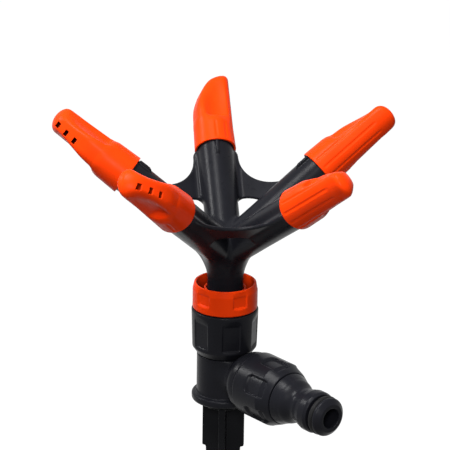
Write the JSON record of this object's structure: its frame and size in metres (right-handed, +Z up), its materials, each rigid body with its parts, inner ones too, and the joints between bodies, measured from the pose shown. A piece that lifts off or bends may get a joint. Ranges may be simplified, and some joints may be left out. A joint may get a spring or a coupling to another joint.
{
  "type": "lawn sprinkler",
  "caption": "Rotating garden sprinkler on a ground stake: a tee with a hose nipple carries a spinning manifold of slanted arms, each ending in an adjustable slotted spray cap.",
  "frame": {"origin": "on the rotor's axis, at the stake's shoulder, where the soil comes to", "axes": "+Z up the rotor's axis, +X out of the hose nipple"},
  "size_m": [0.1371, 0.1417, 0.2849],
  "materials": {
    "black_plastic": "satin moulded",
    "stake_plastic": "satin moulded",
    "orange_plastic": "semi-gloss moulded",
    "seal_rubber": "moulded",
    "white_acetal": "moulded",
    "spring_steel": "ground"
  },
  "bodies": {
    "base": {"ground_stake": "stake_plastic", "tee_body": "black_plastic", "tee_gasket": "seal_rubber", "coupling_nut": "black_plastic", "bearing_bush": "white_acetal", "thrust_washer_upper": "white_acetal", "thrust_washer_lower": "white_acetal", "spindle_seal": "seal_rubber", "retaining_ring": "orange_plastic"},
    "rotor": {"rotor_manifold": "black_plastic", "rotor_spindle": "white_acetal", "shaft_clip": "spring_steel", "nozzle_o_ring_1": "seal_rubber", "nozzle_o_ring_2": "seal_rubber", "nozzle_o_ring_3": "seal_rubber", "nozzle_o_ring_4": "seal_rubber", "nozzle_o_ring_5": "seal_rubber"},
    "nozzle_1": {"nozzle_1": "orange_plastic"},
    "nozzle_2": {"nozzle_2": "orange_plastic"},
    "nozzle_3": {"nozzle_3": "orange_plastic"},
    "nozzle_4": {"nozzle_4": "orange_plastic"},
    "nozzle_5": {"nozzle_5": "orange_plastic"},
    "hose_adaptor": {"hose_adaptor": "black_plastic", "adaptor_gasket": "seal_rubber", "adaptor_o_ring": "seal_rubber"},
    "union_nut": {"union_nut": "black_plastic"}
  },
  "joints": [
    {"name": "rotor_spin", "type": "hinge", "parent": "base", "child": "rotor", "pos_m": [0, 0, 0.08535], "axis": [0, 0, 1], "continuous": true},
    {"name": "nozzle_1_turn", "type": "hinge", "parent": "rotor", "child": "nozzle_1", "pos_m": [0.04072, 0.00199, 0.11481], "axis": [0.8096, 0.0396, 0.5857], "range_deg": [-110, 70]},
    {"name": "nozzle_2_turn", "type": "hinge", "parent": "rotor", "child": "nozzle_2", "pos_m": [0.01069, 0.03934, 0.11481], "axis": [0.2125, 0.7822, 0.5857], "range_deg": [-80, 100]},
    {"name": "nozzle_3_turn", "type": "hinge", "parent": "rotor", "child": "nozzle_3", "pos_m": [-0.03412, 0.02233, 0.11481], "axis": [-0.6782, 0.4438, 0.5857], "range_deg": [-106, 74]},
    {"name": "nozzle_4_turn", "type": "hinge", "parent": "rotor", "child": "nozzle_4", "pos_m": [-0.03177, -0.02555, 0.11481], "axis": [-0.6317, -0.5079, 0.5857], "range_deg": [-100, 80]},
    {"name": "nozzle_5_turn", "type": "hinge", "parent": "rotor", "child": "nozzle_5", "pos_m": [0.01448, -0.03811, 0.11481], "axis": [0.2878, -0.7577, 0.5857], "range_deg": [-98, 82]},
    {"name": "adaptor_slide", "type": "slide", "parent": "base", "child": "hose_adaptor", "axis": [1, 0, 0], "range_m": [0, 0.00545]},
    {"name": "union_nut_turn", "type": "hinge", "parent": "hose_adaptor", "child": "union_nut", "pos_m": [0.03, 0, 0.0345], "axis": [1, 0, 0], "range_deg": [0, 1080]}
  ],
  "couplings": [
    {"joint": "adaptor_slide", "follows": "union_nut_turn", "m_per_rad": 0.0002887}
  ]
}
